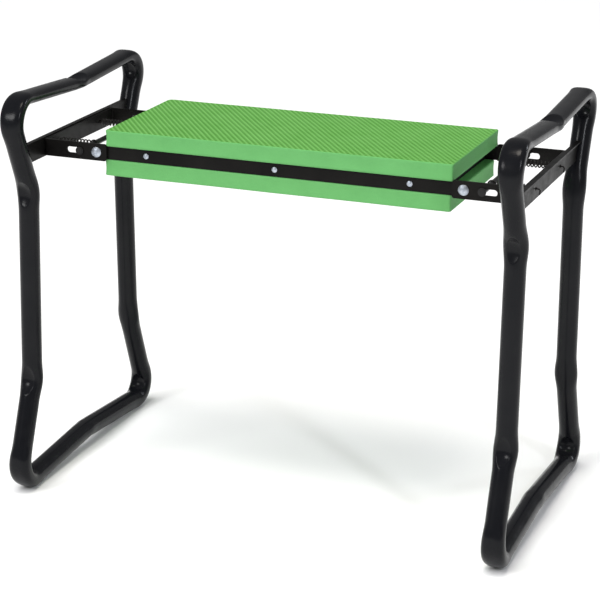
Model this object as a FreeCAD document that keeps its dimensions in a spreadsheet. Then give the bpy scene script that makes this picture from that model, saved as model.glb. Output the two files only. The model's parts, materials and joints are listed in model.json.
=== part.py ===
"""Garden kneeler seat: a padded board on two folding bent-tube leg frames, +Z up, millimetres.

X runs along the seat, Y from the front rail to the rear rail.  The origin is on the floor,
below the middle of the seat.  Each leg frame turns about the two rivets at its end of the
rails, and carries a spring-loaded latch bar in the slots of its two arms.
"""
import FreeCAD, Part
import math
import os
import Sketcher
from FreeCAD import Placement, Rotation, Vector

os.makedirs("parts", exist_ok=True)
doc = FreeCAD.newDocument("garden_kneeler_seat")

# ---------------------------------------------------------------- driving dimensions
SIZES = [
    ("pivot_half", 210.0, "pivot rivets, half their distance along the seat"),
    ("pivot_height", 388.03, "pivot rivets above the floor"),
    ("loop_half", 277.0, "middle plane of each leg loop"),
    ("tube_radius", 11.5, "leg tube, outside"),
    ("tube_wall", 1.2, "leg tube, wall"),
    ("grip_rise", 55.8, "middle of the grip above the pivots"),
    ("shoulder_rise", 65.3, "upper corner of the loop above the pivots"),
    ("shoulder_half", 164.0, "upper corner of the loop from the middle"),
    ("waist_drop", 40.7, "upper kink below the pivots"),
    ("waist_half", 118.5, "upper kink from the middle"),
    ("knee_drop", 261.4, "lower kink below the pivots"),
    ("knee_half", 125.0, "lower kink from the middle"),
    ("toe_drop", 379.8, "foot corner below the pivots"),
    ("toe_half", 171.5, "foot corner from the middle"),
    ("arch_drop", 367.7, "middle of the foot bar below the pivots"),
    ("corner_bend", 25.0, "bend radius of the loop's corners, on the tube's centre line"),
    ("kink_bend", 55.0, "bend radius of the shallow kinks, on the tube's centre line"),
    ("press_spread", 0.15, "share by which a pressed bend is wider than the tube"),
    ("press_squash", 0.14, "share by which a pressed bend is thinner than the tube"),
    ("press_reach", 14.3, "length of tube on each side of a bend that the press still shapes"),
    ("grip_spread", 0.02, "share by which the flattened grip is wider than the tube"),
    ("grip_squash", 0.36, "share by which the flattened grip is thinner than the tube"),
    ("sheet", 2.5, "thickness of arms, crossbars and rails"),
    ("arm_outer", 84.5, "outside face of the arms, from the middle"),
    ("arm_height", 19.0, "height of the arms"),
    ("arm_tail", 12.5, "arm beyond the pivot, towards the seat"),
    ("arm_bend", 3.5, "outside bend radius of the bracket"),
    ("web_outer", 274.5, "outside face of the bracket's web"),
    ("crossbar_top", 10.7, "crossbar's top edge above the pivots"),
    ("crossbar_under", 11.0, "crossbar's bottom edge below the pivots"),
    ("slot_near", 16.5, "inner end of the arm's slot from the pivot"),
    ("slot_far", 36.0, "outer end of the arm's slot from the pivot"),
    ("latch_reach", 20.0, "latch bar from the pivot when it is home"),
    ("latch_radius", 3.0, "latch bar"),
    ("latch_half", 86.5, "latch bar, half its length"),
    ("ring_radius", 4.5, "retaining ring, outside"),
    ("ring_width", 1.2, "retaining ring, thickness"),
    ("spring_side", 50.0, "springs from the middle"),
    ("spring_radius", 3.4, "spring, centre of the wire"),
    ("spring_wire", 0.65, "spring wire, radius"),
    ("spring_pitch", 4.0, "spring, rise of one turn"),
    ("rail_height", 15.0, "height of the rails"),
    ("rail_outer", 81.2, "outside face of the rails, from the middle"),
    ("rail_heel", 13.2, "rail beyond the pivot, bottom edge"),
    ("rail_face", 16.2, "rail beyond the pivot, behind the latch bar"),
    ("rail_lip", 27.0, "rail beyond the pivot, stop lip above the latch bar"),
    ("lip_under", 3.4, "underside of the stop lip above the pivots"),
    ("rivet_step", 151.0, "outer rail rivets from the middle"),
    ("rivet_radius", 1.6, "rail rivet, shank"),
    ("rivet_head", 3.1, "rail rivet, head radius"),
    ("dome_share", 0.36, "height of a rivet's dome as a share of its head radius"),
    ("pin_radius", 3.0, "pivot rivet, shank"),
    ("pin_head", 5.8, "pivot rivet, head radius"),
    ("board_half", 185.0, "seat board, half its length"),
    ("arm_corner", 3.0, "rounded corners at the arm's inner end"),
    ("crossbar_half", 134.0, "crossbar blank, half its length before it is coped"),
    ("lip_reach", 5.5, "folded lip along the crossbar's top edge, width"),
    ("lip_thick", 1.8, "folded lip along the crossbar's top edge, thickness"),
    ("hook_hole", 2.2, "radius of the spring holes in web and crossbar"),
    ("slot_round", 3.5, "radius of the slot's ends, half its height"),
    ("pin_hole", 3.06, "radius of the pivot holes: the shank and its running clearance"),
    ("pin_grip", 5.9, "pivot rivet, from under its head to the rail's inside face"),
    ("head_gap", 0.1, "play under the pivot rivet's head"),
    ("tail_radius", 4.6, "pivot rivet, formed tail, radius"),
    ("tail_thick", 1.5, "pivot rivet, formed tail, thickness"),
    ("washer_radius", 7.5, "pivot washer, outside"),
    ("ring_gap", 0.3, "play between retaining ring and arm"),
    ("spring_length", 36.4, "spring, between the centres of its end turns"),
    ("spring_gap", 1.0, "from the latch bar to the centre of the spring's first turn"),
    ("rail_half_height", 7.5, "half the height of the rails"),
    ("heel_rise", 2.0, "rail's end starts to slope this far below the pivots"),
    ("rivet_hole", 1.64, "radius of the rail rivets' holes"),
    ("rivet_grip", 14.0, "rail rivet, from under its head to its point"),
    ("pad_half", 198.5, "pads, half their length"),
    ("pad_side", 81.0, "pads, half their width"),
    ("pad_thick", 19.0, "pads, thickness"),
    ("pad_round", 2.0, "pads, rounded edges"),
    ("pad_shift", 2.5, "lower pad's offset along the seat"),
]

BEND_STEPS = 12  # ovals through one bend, less one
SEAM = 0.001  # the runs and bends of a loop are sewn together within this distance
NEAR = 0.01  # an edge this close to a plane lies in it

sheet = doc.addObject("Spreadsheet::Sheet", "Sizes")
size = {}
for row, (alias, value, meaning) in enumerate(SIZES, start=1):
    sheet.set(f"A{row}", meaning)
    sheet.set(f"B{row}", str(value))
    sheet.setAlias(f"B{row}", alias)
    size[alias] = value
doc.recompute()

nodes = {}


def add(*names):
    """Sum of sheet values, each with an optional leading minus: its number and its expression."""
    total = 0.0
    terms = []
    for name in names:
        sign = -1 if name.startswith("-") else 1
        alias = name.lstrip("-")
        total += sign * size[alias]
        terms.append(("-" if sign < 0 else "+") + " Sizes." + alias)
    return total, " ".join(terms) if terms else "0"


def keep(obj, name):
    """Give a finished sub-part its node name."""
    obj.Label = name
    nodes[name] = obj
    return obj


def new_body(name):
    """An empty body for one sub-part."""
    return keep(doc.addObject("PartDesign::Body", name), name)


def new_sketch(body, role, name):
    """A sketch on one of the body's own origin planes."""
    sketch = body.newObject("Sketcher::SketchObject", name)
    plane = [feature for feature in body.Origin.OriginFeatures if feature.Role == role][0]
    sketch.AttachmentSupport = [(plane, "")]
    sketch.MapMode = "FlatFace"
    return sketch


def fix_point(sketch, geometry, vertex, across, along):
    """Tie one vertex to the sketch's origin with two distances from the sheet."""
    for kind, axis, (value, expression) in (("DistanceX", -2, across), ("DistanceY", -1, along)):
        if expression == "0":
            sketch.addConstraint(Sketcher.Constraint("PointOnObject", geometry, vertex, axis))
        else:
            place = Sketcher.Constraint(kind, -1, 1, geometry, vertex, value)
            index = sketch.addConstraint(place)
            sketch.setExpression(f"Constraints[{index}]", expression)


def draw_outline(sketch, points):
    """A closed outline of straight lines through points given as pairs of sums."""
    count = len(points)
    for index in range(count):
        start, end = points[index], points[(index + 1) % count]
        line = Part.LineSegment(Vector(start[0][0], start[1][0], 0), Vector(end[0][0], end[1][0], 0))
        sketch.addGeometry(line)
    for index in range(count):
        following = (index + 1) % count
        sketch.addConstraint(Sketcher.Constraint("Coincident", index, 2, following, 1))
        fix_point(sketch, index, 1, *points[index])


def draw_circles(sketch, radius, centres):
    """Equal circles at centres given as pairs of sums."""
    for across, along in centres:
        circle = Part.Circle(Vector(across[0], along[0], 0), Vector(0, 0, 1), size[radius])
        index = sketch.addGeometry(circle)
        fix_point(sketch, index, 3, across, along)
        rule = sketch.addConstraint(Sketcher.Constraint("Radius", index, size[radius]))
        sketch.setExpression(f"Constraints[{rule}]", "Sizes." + radius)


def pad_both_ways(body, sketch, name, length):
    """Thicken a sketch by a sheet expression, half to each side of its plane."""
    pad = body.newObject("PartDesign::Pad", name)
    pad.Profile = sketch
    pad.SideType = "Symmetric"
    pad.setExpression("Length", length)
    sketch.Visibility = False
    return pad


def cut_through(body, sketch, name):
    """Cut a sketch through the whole body, both ways."""
    pocket = body.newObject("PartDesign::Pocket", name)
    pocket.Profile = sketch
    pocket.Type = "ThroughAll"
    pocket.SideType = "Symmetric"
    sketch.Visibility = False
    return pocket


def cylinder(name, radius, height, place, way):
    """A Part cylinder whose radius and height are expressions of the sheet."""
    item = doc.addObject("Part::Cylinder", name)
    item.setExpression("Radius", radius)
    item.setExpression("Height", height)
    item.Placement = Placement(place, Rotation(Vector(0, 0, 1), way))
    return item


# ---------------------------------------------------------------- leg loops
def loop_corners():
    """Front half of the loop's centre line: corner points (Y, Z) and bend radius at each one."""
    base = size["pivot_height"]
    return [
        (Vector(0, 0, base + size["grip_rise"]), size["kink_bend"]),
        (Vector(0, -size["shoulder_half"], base + size["shoulder_rise"]), size["corner_bend"]),
        (Vector(0, -size["waist_half"], base - size["waist_drop"]), size["kink_bend"]),
        (Vector(0, -size["knee_half"], base - size["knee_drop"]), size["kink_bend"]),
        (Vector(0, -size["toe_half"], base - size["toe_drop"]), size["corner_bend"]),
        (Vector(0, 0, base - size["arch_drop"]), size["kink_bend"]),
    ]


def mirrored(point):
    """The same point on the rear half of the loop."""
    return Vector(point.x, -point.y, point.z)


def loop_bends():
    """Every bend of the whole loop in order: where it starts and ends, its centre and its turn."""
    front = loop_corners()
    rear = [(mirrored(point), bend) for point, bend in reversed(front[1:-1])]
    ring = front + rear
    bends = []
    for index, (corner, radius) in enumerate(ring):
        before = ring[index - 1][0]
        after = ring[(index + 1) % len(ring)][0]
        come = (corner - before).normalize()
        leave = (after - corner).normalize()
        turn = come.getAngle(leave)
        reach = radius * math.tan(turn / 2)
        inward = (leave - come).normalize()
        bends.append({
            "start": corner - come * reach,
            "end": corner + leave * reach,
            "centre": corner + inward * (radius / math.cos(turn / 2)),
            "radius": radius,
            "turn": turn,
            "come": come,
            "leave": leave,
        })
    return bends


def pressed_section(centre, along, outward, width, depth):
    """An oval across the tube: width along X, depth in the plane of the loop."""
    across = outward.cross(along)
    frame = FreeCAD.Matrix(
        across.x * width, outward.x * depth, along.x, centre.x,
        across.y * width, outward.y * depth, along.y, centre.y,
        across.z * width, outward.z * depth, along.z, centre.z)
    return Part.Wire([Part.makeCircle(1).transformGeometry(frame).Edges[0]])


def section_at(point, along, centre, inset, press, grip):
    """The tube's oval at one place, more or less pressed by a bend and flattened by the grip."""
    outward = Vector(1, 0, 0).cross(along)
    if outward.dot(centre - point) > 0:
        outward = outward * -1
    radius = size["tube_radius"]
    width = radius * (1 + size["press_spread"] * press + size["grip_spread"] * grip) - inset
    depth = radius * (1 - size["press_squash"] * press) * (1 - size["grip_squash"] * grip) - inset
    return pressed_section(point, along, outward, width, depth)


def bend_sections(bend, inset, grip_before, grip_after):
    """Ovals through one bend, which the press leaves wider along X and thinner in its own plane."""
    spread = size["press_reach"]
    arc = bend["radius"] * bend["turn"]
    first_spoke = (bend["start"] - bend["centre"]).normalize()
    sections = []
    for step in range(BEND_STEPS + 1):
        share = step / BEND_STEPS
        travel = (arc + 2 * spread) * share - spread
        if travel < 0:
            point, along = bend["start"] + bend["come"] * travel, bend["come"]
        elif travel > arc:
            point, along = bend["end"] + bend["leave"] * (travel - arc), bend["leave"]
        else:
            angle = travel / bend["radius"]
            spoke = first_spoke * math.cos(angle) + bend["come"] * math.sin(angle)
            point = bend["centre"] + spoke * bend["radius"]
            along = bend["come"] * math.cos(angle) - first_spoke * math.sin(angle)
        press = 0.5 - 0.5 * math.cos(2 * math.pi * share)
        ease = share * share * (3 - 2 * share)
        grip = grip_before + (grip_after - grip_before) * ease
        sections.append(section_at(point, along, bend["centre"], inset, press, grip))
    return sections


def loop_solid(inset):
    """The whole loop as one closed solid, its surface brought in by the inset."""
    bends = loop_bends()
    spread = size["press_reach"]
    grip_runs = (0, len(bends) - 1)
    pieces = []
    for index, bend in enumerate(bends):
        before = 1 if (index - 1) % len(bends) in grip_runs else 0
        after = 1 if index in grip_runs else 0
        pieces.append(Part.makeLoft(bend_sections(bend, inset, before, after), True, False))
        following = bends[(index + 1) % len(bends)]
        start = bend["end"] + bend["leave"] * spread
        end = following["start"] - following["come"] * spread
        centre = bend["centre"]
        ovals = [section_at(place, bend["leave"], centre, inset, 0, after) for place in (start, end)]
        pieces.append(Part.makeLoft(ovals, True, True))
    walls = [face for piece in pieces for face in piece.Faces if not isinstance(face.Surface, Part.Plane)]
    skin = Part.makeShell(walls)
    skin.sewShape(SEAM)
    return Part.makeSolid(skin)


def build_loops():
    """Two equal leg loops of bent tube, hollow inside."""
    outside = loop_solid(0)
    tube = outside.cut(loop_solid(size["tube_wall"]))
    for side, name in ((-1, "left"), (1, "right")):
        loop = doc.addObject("Part::Feature", name + "_leg_loop")
        loop.Shape = tube
        loop.Placement = Placement(Vector(side * size["loop_half"], 0, 0), Rotation())
        keep(loop, name + "_leg_loop")
    return outside


# ---------------------------------------------------------------- brackets and crossbars
def edges_at(shape, test):
    """Names of a shape's edges whose two ends and middle all pass the test."""
    names = []
    for index, edge in enumerate(shape.Edges, start=1):
        if all(test(vertex.Point) for vertex in edge.Vertexes) and test(edge.CenterOfMass):
            names.append(f"Edge{index}")
    return names


def round_edges(body, name, radius, test):
    """Fillet the edges of the body's last feature that pass the test."""
    doc.recompute()
    base = body.Tip
    fillet = body.newObject("PartDesign::Fillet", name)
    fillet.Base = (base, edges_at(base.Shape, test))
    fillet.setExpression("Radius", radius)
    base.Visibility = False
    return fillet


def build_bracket(name, turn):
    """A strip bent to a U: the web lies on the crossbar and the two arms reach for the seat."""
    body = new_body(name)
    tail = add("pivot_half", "-arm_tail")
    web, inner_web = add("web_outer"), add("web_outer", "-sheet")
    front, rear = add("-arm_outer"), add("arm_outer")
    inner_front, inner_rear = add("-arm_outer", "sheet"), add("arm_outer", "-sheet")
    outline = new_sketch(body, "XY_Plane", name + "_outline")
    draw_outline(outline, [
        (tail, front), (web, front), (web, rear), (tail, rear),
        (tail, inner_rear), (inner_web, inner_rear), (inner_web, inner_front), (tail, inner_front),
    ])
    pad_both_ways(body, outline, name + "_strip", "Sizes.arm_height")
    pivots = new_sketch(body, "XZ_Plane", name + "_pivot_holes")
    draw_circles(pivots, "pin_hole", [(add("pivot_half"), add())])
    cut_through(body, pivots, name + "_pivot_cut")
    ends = new_sketch(body, "XZ_Plane", name + "_slot_ends")
    near, far = add("pivot_half", "slot_near", "slot_round"), add("pivot_half", "slot_far", "-slot_round")
    draw_circles(ends, "slot_round", [(near, add()), (far, add())])
    cut_through(body, ends, name + "_slot_end_cut")
    middle = new_sketch(body, "XZ_Plane", name + "_slot_middle")
    low, high = add("-slot_round"), add("slot_round")
    draw_outline(middle, [(near, low), (far, low), (far, high), (near, high)])
    cut_through(body, middle, name + "_slot_cut")
    hooks = new_sketch(body, "YZ_Plane", name + "_hook_holes")
    draw_circles(hooks, "hook_hole", [(add("-spring_side"), add()), (add("spring_side"), add())])
    cut_through(body, hooks, name + "_hook_cut")
    upright = size["web_outer"] - NEAR

    def outer_corner(point):
        return point.x > upright and abs(point.y) > size["arm_outer"] - NEAR

    def inner_corner(point):
        at_web = abs(point.x - size["web_outer"] + size["sheet"]) < NEAR
        return at_web and abs(abs(point.y) - size["arm_outer"] + size["sheet"]) < NEAR

    def arm_corner(point):
        at_end = abs(point.x - size["pivot_half"] + size["arm_tail"]) < NEAR
        return at_end and abs(abs(point.z) - size["arm_height"] / 2) < NEAR

    round_edges(body, name + "_outer_bends", "Sizes.arm_bend", outer_corner)
    round_edges(body, name + "_inner_bends", "Sizes.arm_bend - Sizes.sheet", inner_corner)
    round_edges(body, name + "_arm_ends", "Sizes.arm_corner", arm_corner)
    body.Placement = Placement(Vector(0, 0, size["pivot_height"]), Rotation(Vector(0, 0, 1), turn))


def build_crossbar(name, side, loop_blank):
    """A plate with a narrow folded lip, coped to the two legs and welded between them."""
    base = size["pivot_height"]
    start = size["web_outer"] if side > 0 else -size["web_outer"] - size["sheet"]
    plate = doc.addObject("Part::Box", name + "_plate")
    plate.setExpression("Length", "Sizes.sheet")
    plate.setExpression("Width", "2 * Sizes.crossbar_half")
    plate.setExpression("Height", "Sizes.crossbar_top + Sizes.crossbar_under")
    corner = Vector(start, -size["crossbar_half"], base - size["crossbar_under"])
    plate.Placement = Placement(corner, Rotation())
    lip = doc.addObject("Part::Box", name + "_lip")
    lip.setExpression("Length", "Sizes.lip_reach")
    lip.setExpression("Width", "2 * Sizes.crossbar_half")
    lip.setExpression("Height", "Sizes.lip_thick")
    start = size["web_outer"] if side > 0 else -size["web_outer"] - size["lip_reach"]
    corner = Vector(start, -size["crossbar_half"], base + size["crossbar_top"] - size["lip_thick"])
    lip.Placement = Placement(corner, Rotation())
    folded = doc.addObject("Part::Fuse", name + "_folded")
    folded.Base = plate
    folded.Tool = lip
    holes = doc.addObject("Part::MultiFuse", name + "_hook_holes")
    drills = []
    for number, y in enumerate((-size["spring_side"], size["spring_side"]), start=1):
        place = Vector(side * (size["web_outer"] - size["sheet"]), y, base)
        label = f"{name}_drill_{number}"
        drills.append(cylinder(label, "Sizes.hook_hole", "3 * Sizes.sheet", place, Vector(side, 0, 0)))
    holes.Shapes = drills
    drilled = doc.addObject("Part::Cut", name + "_drilled")
    drilled.Base = folded
    drilled.Tool = holes
    coped = doc.addObject("Part::Cut", name)
    coped.Base = drilled
    coped.Tool = loop_blank
    keep(coped, name)


# ---------------------------------------------------------------- latch bars and springs
def build_latch(side, name):
    """The sliding bar in the arms' slots, with a retaining ring outside each arm."""
    x = side * (size["pivot_half"] + size["latch_reach"])
    start = Vector(x, -size["latch_half"], size["pivot_height"])
    bar = cylinder(name + "_latch_bar", "Sizes.latch_radius", "2 * Sizes.latch_half", start, Vector(0, 1, 0))
    keep(bar, name + "_latch_bar")
    rings = []
    gap = size["ring_gap"]
    for number, way in enumerate((-1, 1), start=1):
        place = Vector(x, way * (size["arm_outer"] + gap), size["pivot_height"])
        label = f"{name}_latch_ring_{number}"
        disc = cylinder(label + "_disc", "Sizes.ring_radius", "Sizes.ring_width", place, Vector(0, way, 0))
        bore = cylinder(label + "_bore", "Sizes.latch_radius", "Sizes.ring_width", place, Vector(0, way, 0))
        ring = doc.addObject("Part::Cut", label)
        ring.Base = disc
        ring.Tool = bore
        rings.append(ring)
    group = doc.addObject("Part::Compound", name + "_latch_rings")
    group.Links = rings
    keep(group, name + "_latch_rings")


def build_spring(side, y, name):
    """An open coil between the latch bar and the bracket's web, its axis along X."""
    helix = doc.addObject("Part::Helix", name + "_path")
    helix.setExpression("Pitch", "Sizes.spring_pitch")
    helix.setExpression("Height", "Sizes.spring_length")
    helix.setExpression("Radius", "Sizes.spring_radius")
    wire = doc.addObject("Part::Circle", name + "_wire")
    wire.setExpression("Radius", "Sizes.spring_wire")
    wire.Placement = Placement(Vector(size["spring_radius"], 0, 0), Rotation(Vector(1, 0, 0), 90))
    doc.recompute()
    coil = doc.addObject("Part::Sweep", name)
    coil.Sections = [wire]
    coil.Spine = (helix, ["Edge1"])
    coil.Solid = True
    coil.Frenet = True
    start = size["pivot_half"] + size["latch_reach"] + size["latch_radius"] + size["spring_gap"]
    turn = Rotation(Vector(0, 0, 1), Vector(side, 0, 0))
    coil.Placement = Placement(Vector(side * start, y, size["pivot_height"]), turn)
    keep(coil, name)


# ---------------------------------------------------------------- seat
def build_rail(name, way):
    """A flat rail: each end has a heel below and a stop lip above the latch bar."""
    body = new_body(name)
    bottom, top = add("-rail_half_height"), add("rail_half_height")
    heel, heel_left = add("pivot_half", "rail_heel"), add("-pivot_half", "-rail_heel")
    face, face_left = add("pivot_half", "rail_face"), add("-pivot_half", "-rail_face")
    lip, lip_left = add("pivot_half", "rail_lip"), add("-pivot_half", "-rail_lip")
    outline = new_sketch(body, "XZ_Plane", name + "_outline")
    draw_outline(outline, [
        (heel_left, bottom), (heel, bottom), (face, add("-heel_rise")), (face, add("lip_under")),
        (lip, add("lip_under")), (lip, top), (lip_left, top), (lip_left, add("lip_under")),
        (face_left, add("lip_under")), (face_left, add("-heel_rise")),
    ])
    pad_both_ways(body, outline, name + "_strip", "Sizes.sheet")
    pivots = new_sketch(body, "XZ_Plane", name + "_pivot_holes")
    draw_circles(pivots, "pin_hole", [(add("-pivot_half"), add()), (add("pivot_half"), add())])
    cut_through(body, pivots, name + "_pivot_cut")
    holes = new_sketch(body, "XZ_Plane", name + "_rivet_holes")
    places = [(add("-rivet_step"), add()), (add(), add()), (add("rivet_step"), add())]
    draw_circles(holes, "rivet_hole", places)
    cut_through(body, holes, name + "_rivet_cut")
    place = Vector(0, way * (size["rail_outer"] - size["sheet"] / 2), size["pivot_height"])
    body.Placement = Placement(place, Rotation())


def build_rivet(name, shank, head, grip, place, way):
    """A domed rivet: place lies on the face under its head, way points out of that face."""
    dome = size[head] * size["dome_share"]
    ball = (size[head] ** 2 + dome ** 2) / (2 * dome)
    stem = cylinder(name + "_stem", "Sizes." + shank, "Sizes." + grip, place - way * size[grip], way)
    cap = cylinder(name + "_cap", "Sizes." + head, f"Sizes.{head} * Sizes.dome_share", place, way)
    sphere = doc.addObject("Part::Sphere", name + "_ball")
    sphere.Radius = ball
    sphere.Placement = Placement(place - way * (ball - dome), Rotation(Vector(0, 0, 1), way))
    domed = doc.addObject("Part::Common", name + "_head")
    domed.Base = cap
    domed.Tool = sphere
    rivet = doc.addObject("Part::MultiFuse", name)
    rivet.Shapes = [stem, domed]
    return rivet


def build_rivets():
    """Pivot rivets, their washers, and the rivets that hold the rails to the board."""
    base = size["pivot_height"]
    for way, end in ((-1, "front"), (1, "rear")):
        out = Vector(0, way, 0)
        washers = []
        for side, hand in ((-1, "left"), (1, "right")):
            name = f"{hand}_{end}_pivot_rivet"
            place = Vector(side * size["pivot_half"], way * (size["arm_outer"] + size["head_gap"]), base)
            rivet = build_rivet(name + "_outer", "pin_radius", "pin_head", "pin_grip", place, out)
            tail_place = place - out * (size["pin_grip"] + size["tail_thick"])
            tail = cylinder(name + "_tail", "Sizes.tail_radius", "Sizes.tail_thick", tail_place, out)
            whole = doc.addObject("Part::MultiFuse", name)
            whole.Shapes = [rivet, tail]
            keep(whole, name)
            face = Vector(side * size["pivot_half"], way * size["rail_outer"], base)
            label = f"{hand}_{end}_washer"
            thick = "Sizes.arm_outer - Sizes.sheet - Sizes.rail_outer"
            disc = cylinder(label + "_disc", "Sizes.washer_radius", thick, face, out)
            bore = cylinder(label + "_bore", "Sizes.pin_hole", thick, face, out)
            washer = doc.addObject("Part::Cut", label)
            washer.Base = disc
            washer.Tool = bore
            keep(washer, f"{hand}_{end}_pivot_washer")
        group = []
        for number, x in enumerate((-size["rivet_step"], 0, size["rivet_step"]), start=1):
            place = Vector(x, way * size["rail_outer"], base)
            label = f"{end}_rail_rivet_{number}"
            group.append(build_rivet(label, "rivet_radius", "rivet_head", "rivet_grip", place, out))
        rivets = doc.addObject("Part::Compound", end + "_rail_rivets")
        rivets.Links = group
        keep(rivets, end + "_rail_rivets")


def build_board():
    """The stiff board between the rails, drilled for the rail rivets."""
    board = doc.addObject("Part::Box", "seat_board_blank")
    board.setExpression("Length", "2 * Sizes.board_half")
    board.setExpression("Width", "2 * (Sizes.rail_outer - Sizes.sheet)")
    board.setExpression("Height", "Sizes.rail_height")
    side = size["rail_outer"] - size["sheet"]
    corner = Vector(-size["board_half"], -side, size["pivot_height"] - size["rail_height"] / 2)
    board.Placement = Placement(corner, Rotation())
    drills = []
    for way in (-1, 1):
        for x in (-size["rivet_step"], 0, size["rivet_step"]):
            place = Vector(x, way * size["rail_outer"], size["pivot_height"])
            label = f"board_drill_{len(drills) + 1}"
            drills.append(cylinder(label, "Sizes.rivet_hole", "Sizes.rivet_grip", place, Vector(0, -way, 0)))
    holes = doc.addObject("Part::MultiFuse", "seat_board_holes")
    holes.Shapes = drills
    drilled = doc.addObject("Part::Cut", "seat_board")
    drilled.Base = board
    drilled.Tool = holes
    keep(drilled, "seat_board")


def build_pad(name, x, z):
    """A rectangular foam pad with all its edges rounded a little; z is its underside."""
    body = new_body(name)
    outline = new_sketch(body, "XY_Plane", name + "_outline")
    left, right, front, rear = add("-pad_half"), add("pad_half"), add("-pad_side"), add("pad_side")
    draw_outline(outline, [(left, front), (right, front), (right, rear), (left, rear)])
    pad_both_ways(body, outline, name + "_block", "Sizes.pad_thick")
    round_edges(body, name + "_edges", "Sizes.pad_round", lambda point: True)
    body.Placement = Placement(Vector(x, 0, z + size["pad_thick"] / 2), Rotation())


# ---------------------------------------------------------------- the whole seat
outside = build_loops()
for side, hand, turn in ((-1, "left", 180), (1, "right", 0)):
    blank = doc.addObject("Part::Feature", hand + "_loop_blank")
    blank.Shape = outside
    blank.Placement = Placement(Vector(side * size["loop_half"], 0, 0), Rotation())
    build_bracket(hand + "_bracket", turn)
    build_crossbar(hand + "_crossbar", side, blank)
    build_latch(side, hand)
    build_spring(side, -size["spring_side"], hand + "_front_spring")
    build_spring(side, size["spring_side"], hand + "_rear_spring")
build_rail("front_rail", -1)
build_rail("rear_rail", 1)
build_rivets()
build_board()
board_top = size["pivot_height"] + size["rail_height"] / 2
board_under = size["pivot_height"] - size["rail_height"] / 2
build_pad("upper_pad", 0, board_top)
build_pad("lower_pad", -size["pad_shift"], board_under - size["pad_thick"])
doc.recompute()

# ---------------------------------------------------------------- checks, then one file per node
faulty = [item.Name for item in doc.Objects if "Invalid" in item.State or "Error" in item.State]
if faulty:
    raise RuntimeError("failed objects: " + ", ".join(faulty))
for name, item in nodes.items():
    shape = item.Shape
    if shape.isNull() or not shape.isValid() or not shape.Solids:
        raise RuntimeError(name + " has no valid solid")
for name, item in sorted(nodes.items()):
    item.Shape.exportStep(f"parts/{name}.step")
    box = item.Shape.optimalBoundingBox()
    print(f"{name:26s} {len(item.Shape.Solids)} solid(s) {item.Shape.Volume:10.1f} mm3"
          f"  X {box.XMin:7.1f} {box.XMax:7.1f}  Y {box.YMin:7.1f} {box.YMax:7.1f}"
          f"  Z {box.ZMin:7.2f} {box.ZMax:7.2f}")
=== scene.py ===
"""Looks of the garden kneeler seat: leg loops, foam pads, springs, materials, light and camera."""
import json
import math

import bpy
import numpy as np
from mathutils import Matrix, Vector


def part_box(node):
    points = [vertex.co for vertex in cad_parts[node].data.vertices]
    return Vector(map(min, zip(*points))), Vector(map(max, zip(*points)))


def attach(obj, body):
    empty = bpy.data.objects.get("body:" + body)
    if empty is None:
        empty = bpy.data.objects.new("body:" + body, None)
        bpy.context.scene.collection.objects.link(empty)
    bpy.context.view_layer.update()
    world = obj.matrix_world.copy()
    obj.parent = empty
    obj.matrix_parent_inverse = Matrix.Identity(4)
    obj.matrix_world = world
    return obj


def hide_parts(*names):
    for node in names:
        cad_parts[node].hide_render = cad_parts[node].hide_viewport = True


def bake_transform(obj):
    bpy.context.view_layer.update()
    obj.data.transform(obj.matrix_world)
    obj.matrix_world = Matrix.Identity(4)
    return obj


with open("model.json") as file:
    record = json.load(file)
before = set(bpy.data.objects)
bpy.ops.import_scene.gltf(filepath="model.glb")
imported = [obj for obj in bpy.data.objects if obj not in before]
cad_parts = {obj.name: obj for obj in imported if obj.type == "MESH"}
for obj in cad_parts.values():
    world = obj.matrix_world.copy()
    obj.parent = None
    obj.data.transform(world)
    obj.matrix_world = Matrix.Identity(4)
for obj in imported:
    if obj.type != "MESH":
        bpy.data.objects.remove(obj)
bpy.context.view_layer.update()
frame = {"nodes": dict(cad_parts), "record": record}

SIDES = (("left", -1), ("right", 1))
MM = 0.001


# ------------------------------------------------------------------ small helpers
def new_mesh(name, points, faces, material_of_face=None, smooth=True):
    """A mesh object from points and faces, smooth shaded."""
    mesh = bpy.data.meshes.new(name)
    mesh.from_pydata([tuple(p) for p in points], [], [tuple(f) for f in faces])
    if material_of_face is not None:
        mesh.polygons.foreach_set("material_index", np.asarray(material_of_face, dtype=np.int32))
    mesh.polygons.foreach_set("use_smooth", np.full(len(mesh.polygons), smooth))
    mesh.validate()
    mesh.update()
    piece = bpy.data.objects.new(name, mesh)
    bpy.context.scene.collection.objects.link(piece)
    return piece


def smooth_step(value):
    """0 below 0, 1 above 1, and a soft S between."""
    value = np.clip(value, 0, 1)
    return value * value * (3 - 2 * value)


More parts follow.
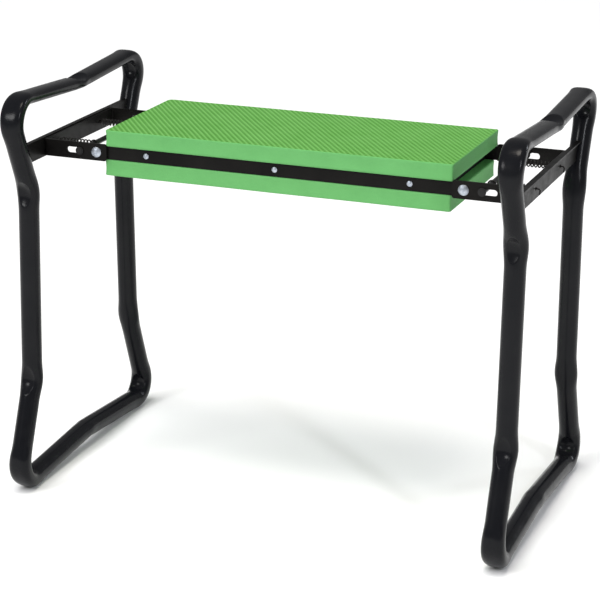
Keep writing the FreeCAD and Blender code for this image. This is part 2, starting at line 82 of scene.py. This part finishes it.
# ------------------------------------------------------------------ materials
class Nodes:
    """A material's node tree, written as short calls."""

    def __init__(self, name):
        self.material = bpy.data.materials.new(name)
        self.material.use_nodes = True
        self.tree = self.material.node_tree
        self.tree.nodes.clear()
        self.shader = self.add("BsdfPrincipled")
        output = self.add("OutputMaterial")
        self.join(self.shader, "BSDF", output, "Surface")
        self.place = self.add("TexCoord")

    def add(self, kind, **values):
        node = self.tree.nodes.new("ShaderNode" + kind)
        for key, value in values.items():
            setattr(node, key, value)
        return node

    def join(self, source, output, target, name):
        self.tree.links.new(source.outputs[output], target.inputs[name])

    def noise(self, scale, detail=4.0, roughness=0.5):
        node = self.add("TexNoise")
        node.inputs["Scale"].default_value = scale
        node.inputs["Detail"].default_value = detail
        node.inputs["Roughness"].default_value = roughness
        self.join(self.place, "Object", node, "Vector")
        return node

    def span(self, source, output, low, high, start=0.3, end=0.7):
        """Map a grey value to a range."""
        node = self.add("MapRange")
        for name, value in (("From Min", start), ("From Max", end), ("To Min", low), ("To Max", high)):
            node.inputs[name].default_value = value
        self.join(source, output, node, "Value")
        return node

    def blend_colours(self, factor, output, first, second):
        """A mix of two colours by a grey value."""
        node = self.add("Mix", data_type="RGBA")
        node.inputs[6].default_value = (*first, 1)
        node.inputs[7].default_value = (*second, 1)
        self.tree.links.new(factor.outputs[output], node.inputs[0])
        return node

    def bump(self, source, output, strength, distance, after=None):
        node = self.add("Bump")
        node.inputs["Strength"].default_value = strength
        node.inputs["Distance"].default_value = distance
        self.join(source, output, node, "Height")
        if after:
            self.join(after, "Normal", node, "Normal")
        self.join(node, "Normal", self.shader, "Normal")
        return node

    def ribs(self, split, way, height):
        """One family of diagonal ribs over the object's own X and Y: 0 in a groove, height on a rib."""
        total = self.add("Math", operation=way)
        for axis, pitch, socket in (("X", RIB_X, 0), ("Y", RIB_Y, 1)):
            turn = self.add("Math", operation="MULTIPLY")
            turn.inputs[1].default_value = 2 * math.pi / pitch
            self.tree.links.new(split.outputs[axis], turn.inputs[0])
            self.tree.links.new(turn.outputs[0], total.inputs[socket])
        wave = self.add("Math", operation="COSINE")
        self.tree.links.new(total.outputs[0], wave.inputs[0])
        return self.span(wave, 0, 0, height, -0.35, 1.0)

    def foam_pores(self, scale, depth):
        """Fine pores and a finer grain, as bump."""
        pores = self.add("TexVoronoi")
        pores.inputs["Scale"].default_value = scale
        self.join(self.place, "Object", pores, "Vector")
        fine = self.bump(pores, "Distance", 0.35, depth)
        self.bump(self.noise(600, 4, 0.65), "Fac", 0.3, depth, after=fine)
        self.set(Specular_IOR_Level=0.25)

    def set(self, **values):
        for key, value in values.items():
            self.shader.inputs[key.replace("_", " ")].default_value = value


def enamel(name, dark, light, low, high, peel, gloss):
    """Black enamel on steel: faint orange peel, uneven gloss, dust-dull patches."""
    nodes = Nodes(name)
    patches = nodes.noise(22, 5)
    colour = nodes.blend_colours(nodes.span(patches, "Fac", 0, 1, 0.35, 0.7), "Result", dark, light)
    nodes.tree.links.new(colour.outputs[2], nodes.shader.inputs["Base Color"])
    wear = nodes.noise(70, 6, 0.6)
    nodes.join(nodes.span(wear, "Fac", low, high), "Result", nodes.shader, "Roughness")
    grain = nodes.noise(900, 2)
    nodes.bump(grain, "Fac", peel, 0.0004)
    nodes.set(Specular_IOR_Level=gloss)
    return nodes.material


def zinc():
    """Bright zinc plate with a slightly mottled, tumbled surface."""
    nodes = Nodes("zinc_plate")
    spots = nodes.noise(420, 4, 0.6)
    colour = nodes.blend_colours(nodes.span(spots, "Fac", 0, 1), "Result", ZINC_DARK, ZINC_LIGHT)
    nodes.tree.links.new(colour.outputs[2], nodes.shader.inputs["Base Color"])
    nodes.join(nodes.span(spots, "Fac", 0.34, 0.56), "Result", nodes.shader, "Roughness")
    nodes.bump(nodes.noise(700, 3), "Fac", 0.35, 0.0004)
    nodes.set(Metallic=1.0)
    return nodes.material


def foam_cut():
    """Sliced side of the closed-cell foam: open pores, faint cloudy colour, fully matt."""
    nodes = Nodes("foam_cut_side")
    clouds = nodes.noise(38, 5, 0.6)
    colour = nodes.blend_colours(nodes.span(clouds, "Fac", 0, 1, 0.3, 0.72), "Result", CUT_DARK, CUT_LIGHT)
    nodes.tree.links.new(colour.outputs[2], nodes.shader.inputs["Base Color"])
    nodes.join(nodes.span(clouds, "Fac", 0.62, 0.8), "Result", nodes.shader, "Roughness")
    nodes.foam_pores(620, 0.0004)
    return nodes.material


def foam_skin():
    """Moulded skin of the foam: its green with a painted highlight on the ribs and painted shade in the
    grooves, and fine pores.
    """
    nodes = Nodes("foam_skin")
    split = nodes.add("SeparateXYZ")
    nodes.join(nodes.place, "Object", split, "Vector")
    main = nodes.ribs(split, "ADD", MAIN_SHARE)
    cross = nodes.ribs(split, "SUBTRACT", CROSS_SHARE)
    both = nodes.add("Math", operation="ADD", use_clamp=True)
    nodes.tree.links.new(main.outputs[0], both.inputs[0])
    nodes.tree.links.new(cross.outputs[0], both.inputs[1])
    # painted shade in the grooves and a painted highlight on the ribs, following the two families of ribs
    rib_light_and_shade = nodes.blend_colours(both, "Value", GROOVE_SHADE, RIB_HIGHLIGHT)
    clouds = nodes.noise(30, 5, 0.6)
    colour = nodes.add("Mix", data_type="RGBA", blend_type="MULTIPLY")
    colour.inputs[7].default_value = (0.86, 0.90, 0.84, 1)
    nodes.tree.links.new(nodes.span(clouds, "Fac", 0, 1, 0.3, 0.72).outputs[0], colour.inputs[0])
    nodes.tree.links.new(rib_light_and_shade.outputs[2], colour.inputs[6])
    nodes.tree.links.new(colour.outputs[2], nodes.shader.inputs["Base Color"])
    nodes.join(nodes.span(clouds, "Fac", 0.5, 0.66), "Result", nodes.shader, "Roughness")
    nodes.foam_pores(900, 0.0002)
    return nodes.material


RIB_X, RIB_Y = 0.00655, 0.00882  # length and width of the diamonds between the pads' diagonal ribs
MAIN_SHARE, CROSS_SHARE = 0.85, 0.45  # how strongly the two families of ribs take the painted highlight and the painted shade
# the foam's green, darker in the grooves as painted shade and paler on the ribs as a painted highlight
GROOVE_SHADE, RIB_HIGHLIGHT = (0.059, 0.221, 0.030), (0.157, 0.408, 0.101)
CUT_DARK, CUT_LIGHT = (0.108, 0.350, 0.106), (0.127, 0.388, 0.124)
ZINC_DARK, ZINC_LIGHT = (0.30, 0.34, 0.40), (0.58, 0.62, 0.68)

BLACK = enamel("black_enamel", (0.0046, 0.0050, 0.0066), (0.0076, 0.0078, 0.0092), 0.15, 0.26, 0.05, 0.135)
STRIP = enamel("black_strip", (0.0050, 0.0047, 0.0046), (0.0090, 0.0084, 0.0078), 0.30, 0.44, 0.08, 0.074)
SATIN = enamel("black_satin", (0.008, 0.008, 0.0085), (0.015, 0.0145, 0.0148), 0.30, 0.45, 0.15, 0.22)
SPRING = enamel("oiled_spring_steel", (0.008, 0.0075, 0.007), (0.018, 0.016, 0.015), 0.30, 0.45, 0.2, 0.14)
BOARD = enamel("black_board", (0.010, 0.010, 0.010), (0.02, 0.019, 0.018), 0.55, 0.75, 0.5, 0.1)
ZINC = zinc()
FOAM_SKIN = foam_skin()
FOAM_CUT = foam_cut()

LOOKS = {"black_frame": BLACK, "latch_steel": SATIN, "spring_steel": SPRING, "board": BOARD, "zinc": ZINC,
         "green_foam": FOAM_CUT}
SLOT_OF = {entry["node"]: entry["material_slot"] for entry in frame["record"]["subparts"]}
for node, piece in frame["nodes"].items():
    for place in piece.material_slots:
        place.material = STRIP if node.endswith(("_bracket", "_crossbar", "_rail")) else LOOKS[SLOT_OF[node]]


# ------------------------------------------------------------------ leg loops
PIVOT_Z = 0.38803  # height of the pivots
LOOP_X = 0.277  # the loops' middle plane, from the middle of the seat
TUBE = 0.0115  # radius
REACH = 0.0143  # how far the press at a bend runs on past its arc
# front half of the loop's centre line: Y and Z from the pivots, bend radius, share of the full press,
# and the dimple's length, width and depth
CORNERS = [
    (0.0, 55.8, 55, 1.0, 17.0, 12.8, 4.6),
    (-164.0, 65.3, 25, 1.0, 25.0, 8.6, 4.4),
    (-118.5, -40.7, 55, 1.0, 18.0, 7.6, 3.0),
    (-125.0, -261.4, 55, 1.0, 19.0, 7.8, 3.4),
    (-171.5, -379.8, 25, 1.0, 23.0, 9.0, 5.0),
    (0.0, -367.7, 55, 0.35, 13.0, 7.5, 0.6),
]
AROUND = 96  # points round the tube
STEP = 0.0013  # between the rings of points in a bend; three times as much on the straights
RIM = 5  # how crisp the rim of a scoop is
GRIP_EDGE = 0.5  # how much squarer than an oval the flattened grip is
OUTER_EDGE = 1.3  # the same for the outer half of the tight bends
TIGHT = 0.030  # bends of a smaller radius than this are tight
# how much wider and thinner than the tube a pressed bend and the flattened grip are
PRESS_SPREAD, PRESS_SQUASH, GRIP_SPREAD, GRIP_SQUASH = 0.15, 0.14, 0.02, 0.36


def loop_stations():
    """Places along the centre line: point, direction, bend centre, press, grip, squareness and dimple."""
    rear = [(-y, z, *rest) for y, z, *rest in reversed(CORNERS[1:-1])]
    ring = [(np.array((y, z)) * MM, radius * MM, amount, np.array(dimple) * MM)
            for y, z, radius, amount, *dimple in CORNERS + rear]
    count = len(ring)
    bends = []
    for index, (corner, radius, amount, dimple) in enumerate(ring):
        before, after = ring[index - 1][0], ring[(index + 1) % count][0]
        come = (corner - before) / np.linalg.norm(corner - before)
        leave = (after - corner) / np.linalg.norm(after - corner)
        turn = math.acos(float(np.clip(come @ leave, -1, 1)))
        inward = (leave - come) / np.linalg.norm(leave - come)
        reach = radius * math.tan(turn / 2)
        bends.append(dict(start=corner - come * reach, end=corner + leave * reach, come=come, leave=leave,
                          centre=corner + inward * radius / math.cos(turn / 2), radius=radius, turn=turn,
                          amount=amount, dimple=dimple, edge=OUTER_EDGE if radius < TIGHT else 0.0))
    stations = []
    for index, bend in enumerate(bends):
        arc = bend["radius"] * bend["turn"]
        total = arc + 2 * REACH
        steps = max(12, round(total / STEP))
        # the straights on both sides of the ring's first corner are the grip
        grip_after = 1.0 if index in (0, count - 1) else 0.0
        grip_before = 1.0 if (index - 1) % count in (0, count - 1) else 0.0
        spoke0 = (bend["start"] - bend["centre"]) / bend["radius"]
        for step in range(steps):
            share = step / steps
            travel = total * share - REACH
            if travel < 0:
                point, along = bend["start"] + bend["come"] * travel, bend["come"]
            elif travel > arc:
                point, along = bend["end"] + bend["leave"] * (travel - arc), bend["leave"]
            else:
                angle = travel / bend["radius"]
                spoke = spoke0 * math.cos(angle) + bend["come"] * math.sin(angle)
                point = bend["centre"] + spoke * bend["radius"]
                along = bend["come"] * math.cos(angle) - spoke0 * math.sin(angle)
            press = bend["amount"] * (0.5 - 0.5 * math.cos(2 * math.pi * share))
            ease = share * share * (3 - 2 * share)
            grip = grip_before + (grip_after - grip_before) * ease
            stations.append((point, along, bend["centre"], press, grip, press * bend["edge"],
                             travel - arc / 2, bend["dimple"]))
        following = bends[(index + 1) % count]
        start = bend["end"] + bend["leave"] * REACH
        end = following["start"] - following["come"] * REACH
        length = np.linalg.norm(end - start)
        steps = max(4, round(length / (3 * STEP)))
        for step in range(steps):
            point = start + (end - start) * step / steps
            near = length * step / steps
            if near < length / 2:
                stations.append((point, bend["leave"], bend["centre"], 0, grip_after, 0,
                                 arc / 2 + REACH + near, bend["dimple"]))
            else:
                half = following["radius"] * following["turn"] / 2
                stations.append((point, bend["leave"], following["centre"], 0, grip_after, 0,
                                 -(half + REACH + length - near), following["dimple"]))
    return stations


def build_loop(hand, side):
    """The bent tube: ovals pressed at each bend, a flattened grip, and a scoop inside each bend."""
    angles = np.linspace(0, 2 * math.pi, AROUND, endpoint=False)
    middle = side * LOOP_X
    lined = []
    for point, along, centre, press, grip, edge, away, dimple in loop_stations():
        side_way = np.array((-along[1], along[0]))
        inner = 1 if side_way @ (centre - point) > 0 else -1
        width = TUBE * (1 + PRESS_SPREAD * press + GRIP_SPREAD * grip)
        depth = TUBE * (1 - PRESS_SQUASH * press) * (1 - GRIP_SQUASH * grip)
        sine, cosine = np.sin(angles), np.cos(angles)
        power = 2.0 / (2.0 + GRIP_EDGE * grip + np.where(cosine * inner < 0, edge, 0))
        across = width * np.sign(sine) * np.abs(sine) ** power
        deep = depth * np.sign(cosine) * np.abs(cosine) ** power
        long_reach, wide_reach, scoop = dimple
        inside = 1 - (away / long_reach) ** 2 - (across / wide_reach) ** 2
        pressed = np.where(deep * inner > 0, np.clip(inside, 0, 1) * smooth_step(inside * RIM), 0)
        deep = deep - inner * scoop * pressed
        yz = point[None, :] + side_way[None, :] * deep[:, None]
        lined.append(np.column_stack((middle + across, yz[:, 0], yz[:, 1] + PIVOT_Z)))
    points = np.concatenate(lined)
    count = len(lined)
    faces = []
    for row in range(count):
        below = (row + 1) % count
        for column in range(AROUND):
            beside = (column + 1) % AROUND
            faces.append((row * AROUND + column, row * AROUND + beside,
                          below * AROUND + beside, below * AROUND + column))
    piece = new_mesh(hand + "_bent_tube", points, faces)
    piece.data.materials.append(BLACK)
    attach(piece, hand + "_leg_frame")
    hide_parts(hand + "_leg_loop")


for hand, side in SIDES:
    build_loop(hand, side)


# ------------------------------------------------------------------ foam pads
GRID = RIB_X / 8  # spacing of the points on the embossed face
EMBOSS = 0.00085  # height of the ribs
MAIN_RIBS, CROSS_RIBS, RIB_POWER = 0.68, 0.32, 1.4  # shares of the two families, and how narrow they are
CROWN, WANDER = 0.0005, 0.00012  # slow rise to the middle, and slow unevenness
HOLLOW, WAVE = 0.00045, 0.00010  # the cut sides' hollow and unevenness
EDGE = 0.0016  # radius of the rounded edges
PLAN_CORNER = 0.0022  # radius of the corners in plan
NEAR_SIDE = 0.001  # points this near a side of the outline take its unevenness
WORN_CORNER = 0.008  # the upper pad's rear left corner, rounder than the others


def side_profile(half_z):
    """Rings from the face down the cut side: inset, level, and how far the ring follows the ribs."""
    profile = []
    for turn in (22.5, 45, 67.5, 90):
        angle = math.radians(turn)
        profile.append((EDGE * (1 - math.sin(angle)), half_z - EDGE * (1 - math.cos(angle)), 1 - turn / 90))
    wall_top, wall_low = half_z - EDGE, -half_z + EDGE
    for share in (0.12, 0.3, 0.5, 0.7, 0.88, 1.0):
        hollow = HOLLOW * 4 * share * (1 - share)
        profile.append((hollow, wall_top + (wall_low - wall_top) * share, 0))
    for turn in (30, 60, 90):
        angle = math.radians(turn)
        profile.append((EDGE * (1 - math.cos(angle)), wall_low - EDGE * math.sin(angle), 0))
    return profile


def round_worn_corner(points, half_x, half_y):
    """Move the points of the rear left corner's square onto a quarter disc, in plan."""
    core_x, core_y = half_x - WORN_CORNER, half_y - WORN_CORNER
    part_x = np.clip((-points[:, 0] - core_x) / WORN_CORNER, 0, 1)
    part_y = np.clip((points[:, 1] - core_y) / WORN_CORNER, 0, 1)
    corner = (part_x > 0) & (part_y > 0)
    points[corner, 0] = -core_x - WORN_CORNER * (part_x * np.sqrt(1 - part_y ** 2 / 2))[corner]
    points[corner, 1] = core_y + WORN_CORNER * (part_y * np.sqrt(1 - part_x ** 2 / 2))[corner]


def build_pad(node, outward, rim_fade, overhang):
    """A foam slab with diagonal ribs on its outer face and slightly hollow, cut sides.

    The ribs fade near the rim, and the long sides stand out past the CAD solid by the overhang.
    """
    low, high = (np.array(corner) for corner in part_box(node))
    middle = (low + high) / 2
    half = (high - low) / 2
    half_x, half_y = half[0], half[1] + overhang
    top_half = np.array((half_x - EDGE, half_y - EDGE))
    count_x, count_y = (int(round(2 * size / GRID)) + 1 for size in top_half)
    xs = np.linspace(-top_half[0], top_half[0], count_x)
    ys = np.linspace(-top_half[1], top_half[1], count_y)
    grid_x, grid_y = np.meshgrid(xs, ys, indexing="ij")
    place_x, place_y = grid_x + middle[0], grid_y + middle[1]
    ribs = 0.5 + 0.5 * np.cos(2 * math.pi * (place_x / RIB_X + place_y / RIB_Y))
    cross = 0.5 + 0.5 * np.cos(2 * math.pi * (place_x / RIB_X - place_y / RIB_Y))
    pattern = MAIN_RIBS * ribs ** RIB_POWER + CROSS_RIBS * cross ** RIB_POWER
    to_rim = np.minimum(half_x - np.abs(grid_x), half_y - np.abs(grid_y))
    pattern = 0.5 + (pattern - 0.5) * smooth_step((to_rim - EDGE) / rim_fade)
    crown = (1 - (grid_x / half_x) ** 4) * (1 - (grid_y / half_y) ** 4)
    wander = WANDER * np.sin(grid_x * 41 + 1.3) * np.sin(grid_y * 63 + 0.4)
    height = half[2] - EMBOSS - CROWN + EMBOSS * pattern + CROWN * crown + wander
    points = [np.column_stack((grid_x.ravel(), grid_y.ravel(), height.ravel()))]
    index = np.arange(count_x * count_y).reshape(count_x, count_y)
    quads = np.stack((index[:-1, :-1], index[1:, :-1], index[1:, 1:], index[:-1, 1:]), axis=-1).reshape(-1, 4)
    faces = [quads]
    kinds = [np.zeros(len(quads), dtype=int)]
    rim = np.concatenate((index[:, 0], index[-1, 1:], index[-2::-1, -1], index[0, -2:0:-1]))
    rim_x, rim_y = grid_x.ravel()[rim], grid_y.ravel()[rim]
    rim_height = height.ravel()[rim]

    def outline(inset):
        """The rim's points moved out to the slab's outline less the inset, with rounded corners."""
        reach_x, reach_y = half_x - inset, half_y - inset
        x = rim_x / top_half[0] * reach_x
        y = rim_y / top_half[1] * reach_y
        core_x = np.clip(x, -(reach_x - PLAN_CORNER), reach_x - PLAN_CORNER)
        core_y = np.clip(y, -(reach_y - PLAN_CORNER), reach_y - PLAN_CORNER)
        away_x, away_y = x - core_x, y - core_y
        length = np.maximum(np.hypot(away_x, away_y), 1e-9)
        return core_x + away_x / length * PLAN_CORNER, core_y + away_y / length * PLAN_CORNER

    before = rim
    used = count_x * count_y
    for number, (inset, level, share) in enumerate(side_profile(half[2])):
        x, y = outline(inset)
        follow = (rim_height - (half[2] - EMBOSS * 0.5)) * share
        wave = WAVE * np.sin(rim_x * 173 + rim_y * 211 + level * 900)
        inward = np.column_stack((-np.sign(x) * (np.abs(np.abs(x) - half_x) < NEAR_SIDE),
                                  -np.sign(y) * (np.abs(np.abs(y) - half_y) < NEAR_SIDE)))
        x = x + inward[:, 0] * np.abs(wave)
        y = y + inward[:, 1] * np.abs(wave)
        z = np.full(len(rim), level) + np.minimum(follow, 0)
        points.append(np.column_stack((x, y, z)))
        ring = np.arange(used, used + len(rim))
        used += len(rim)
        quads = np.stack((before, ring, np.roll(ring, -1), np.roll(before, -1)), axis=-1)
        faces.append(quads)
        kinds.append(np.full(len(quads), 0 if number < 2 else 1))
        before = ring
    points = np.concatenate(points)
    points[:, 2] *= outward
    if outward > 0:
        round_worn_corner(points, half_x, half_y)
    points = points + middle
    all_faces = [tuple(face) for group in faces for face in group] + [tuple(before[::-1])]
    if outward < 0:
        all_faces = [face[::-1] for face in all_faces]
    kind = np.concatenate(kinds + [np.ones(1, dtype=int)])
    piece = new_mesh(node + "_foam", points, all_faces, kind)
    piece.data.materials.append(FOAM_SKIN)
    piece.data.materials.append(FOAM_CUT)
    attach(piece, "seat")
    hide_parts(node)


# the upper pad's long sides stand out so far that the arms' corners bite 0.7 mm into them in places;
# the lower pad's barely do, and so the folding arms clear it
build_pad("upper_pad", 1, rim_fade=0.0012, overhang=0.0034)
build_pad("lower_pad", -1, rim_fade=0.006, overhang=0.0002)


# ------------------------------------------------------------------ latch springs
COIL, WIRE, PITCH = 0.0034, 0.00078, 0.0040  # radius of the coil, radius of the wire, turn to turn
BAR, BAR_X = 0.0030, 0.230  # the latch bar's radius and place
EYE_GAP, EYE_LEAD = 0.00012, 0.0009  # the eye's clearance round the bar, and how far it runs along it
COIL_START, COIL_END = 0.2345, 0.2700
SPRING_Y = 0.050


def spring_path(side, y):
    """Centre line of one spring: an eye round the latch bar, the coil, and a hook through the web."""
    eye = BAR + WIRE + EYE_GAP
    route = []
    for step in range(25):
        angle = math.radians(-70 + 310 * step / 24)
        route.append((BAR_X - eye * math.cos(angle), EYE_LEAD * step / 24, eye * math.sin(angle)))
    turns = (COIL_END - COIL_START) / PITCH
    steps = int(turns * 20)
    for step in range(steps + 1):
        share = step / steps
        angle = 2 * math.pi * turns * share - math.pi / 2
        # the end turns are narrower than the rest
        grow = COIL * min(1.0, 0.75 + share * 6, 0.6 + (1 - share) * 8)
        along = COIL_START + (COIL_END - COIL_START) * share
        route.append((along, grow * math.cos(angle), grow * math.sin(angle)))
    last = np.array(route[-1])
    for share in (0.4, 0.75, 1.0):
        route.append((last[0] + 0.0022 * share, last[1] * (1 - share), last[2] * (1 - share)))
    # the hook passes through web and crossbar and turns down behind them
    route += [(0.2750, 0, 0), (0.2785, 0, 0), (0.2806, 0, -0.0003), (0.2814, 0, -0.0014),
              (0.2815, 0, -0.0032), (0.2813, 0, -0.0050), (0.2811, 0, -0.0062)]
    return [Vector((side * a, y + b, PIVOT_Z + c)) for a, b, c in route]


def tube_along(name, route, radius, around=10):
    """A closed round wire along a route of points."""
    points, faces = [], []
    normal = None
    for index, point in enumerate(route):
        ahead = route[min(index + 1, len(route) - 1)]
        behind = route[max(index - 1, 0)]
        along = (ahead - behind).normalized()
        if normal is None:
            normal = along.orthogonal().normalized()
        normal = (normal - along * normal.dot(along)).normalized()
        other = along.cross(normal)
        for step in range(around):
            angle = 2 * math.pi * step / around
            points.append(point + (normal * math.cos(angle) + other * math.sin(angle)) * radius)
    for row in range(len(route) - 1):
        for column in range(around):
            beside = (column + 1) % around
            faces.append((row * around + column, row * around + beside,
                          (row + 1) * around + beside, (row + 1) * around + column))
    faces.append(tuple(range(around))[::-1])
    last = (len(route) - 1) * around
    faces.append(tuple(range(last, last + around)))
    return new_mesh(name, points, faces)


for hand, side in SIDES:
    for end, way in (("front", -1), ("rear", 1)):
        route = spring_path(side, way * SPRING_Y)
        wire = tube_along(f"{hand}_{end}_spring_wire", route, WIRE)
        wire.data.materials.append(SPRING)
        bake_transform(wire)
        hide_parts(f"{hand}_{end}_spring")


# ------------------------------------------------------------------ floor, light and camera
FLOOR_HALF, FLOOR_Z = 60.0, -0.0002
FLOOR_WHITE, FLOOR_GREY = 0.97, 0.97 * 0.985


def floor_paper():
    """Matt white paper with a very faint cloudiness."""
    nodes = Nodes("floor_paper")
    cloud = nodes.noise(1.5, 2)
    shade = nodes.blend_colours(cloud, "Fac", (FLOOR_WHITE,) * 3, (FLOOR_GREY,) * 3)
    nodes.tree.links.new(shade.outputs[2], nodes.shader.inputs["Base Color"])
    nodes.set(Roughness=0.9, Specular_IOR_Level=0.1)
    return nodes.material


floor_corners = [(x * FLOOR_HALF, y * FLOOR_HALF, FLOOR_Z) for x, y in ((-1, -1), (1, -1), (1, 1), (-1, 1))]
floor = new_mesh("floor", floor_corners, [(0, 1, 2, 3)], smooth=False)
floor.data.materials.append(floor_paper())

world = bpy.data.worlds.new("studio")
world.use_nodes = True
world.node_tree.nodes["Background"].inputs["Color"].default_value = (1, 1, 1, 1)
world.node_tree.nodes["Background"].inputs["Strength"].default_value = 0.30
bpy.context.scene.world = world


def area_light(name, place, target_z, width, height, power, colour):
    """An elliptical softbox that points at a spot above the middle of the floor."""
    light = bpy.data.lights.new(name, "AREA")
    light.shape = "ELLIPSE"
    light.size, light.size_y = width, height
    light.energy = power
    light.color = colour
    item = bpy.data.objects.new(name, light)
    bpy.context.scene.collection.objects.link(item)
    item.location = place
    item.rotation_euler = (Vector((0, 0, target_z)) - Vector(place)).to_track_quat("-Z", "Y").to_euler()


sun = bpy.data.lights.new("soft_sky", "SUN")
sun.energy = 2.4
sun.angle = math.radians(50)
sky = bpy.data.objects.new("soft_sky", sun)
bpy.context.scene.collection.objects.link(sky)
sky.visible_glossy = False
sky.rotation_euler = Vector((0.5, 0.9, -2.4)).to_track_quat("-Z", "Y").to_euler()
area_light("key_softbox", (-1.3, -2.2, 1.7), 0.3, 0.85, 0.85, 21, (1, 1, 1))
area_light("top_softbox", (0.2, -0.5, 2.4), 0.3, 0.7, 0.7, 14, (1.0, 0.93, 0.84))
area_light("right_strip", (1.77, -1.39, 1.55), 0.35, 0.16, 1.0, 13.5, (0.93, 0.95, 1.0))
area_light("rear_strip", (1.7, 1.6, 1.2), 0.3, 0.16, 1.2, 8, (0.88, 0.93, 1.0))

bpy.context.scene.view_settings.view_transform = "Standard"

# the camera stands in front, to the right and above, and looks at the seat with a long lens
AZIMUTH, ELEVATION, ROLL = (math.radians(angle) for angle in (22.80, 18.12, -0.06))
SENSOR, LENS = 36, 122.9538  # millimetres
OFFSET_X, OFFSET_Y, DISTANCE = -0.06799, -0.16181, 2.25114
back = Vector((math.sin(AZIMUTH) * math.cos(ELEVATION), -math.cos(AZIMUTH) * math.cos(ELEVATION),
               math.sin(ELEVATION)))
right = Vector((math.cos(AZIMUTH), math.sin(AZIMUTH), 0))
up = back.cross(right)
right, up = (right * math.cos(ROLL) + up * math.sin(ROLL), up * math.cos(ROLL) - right * math.sin(ROLL))
camera_data = bpy.data.cameras.new("camera")
camera_data.sensor_width = SENSOR
camera_data.lens = LENS
camera_data.shift_x = 0.1  # the lens's axis meets the picture 0.1 of its width left of the middle
camera_data.clip_end = 250
camera = bpy.data.objects.new("camera", camera_data)
bpy.context.scene.collection.objects.link(camera)
turn = Matrix((right, up, back)).transposed().to_4x4()
spot = right * OFFSET_X + up * OFFSET_Y + back * DISTANCE + Vector((0, 0, PIVOT_Z))
camera.matrix_world = Matrix.Translation(spot) @ turn
bpy.context.scene.camera = camera
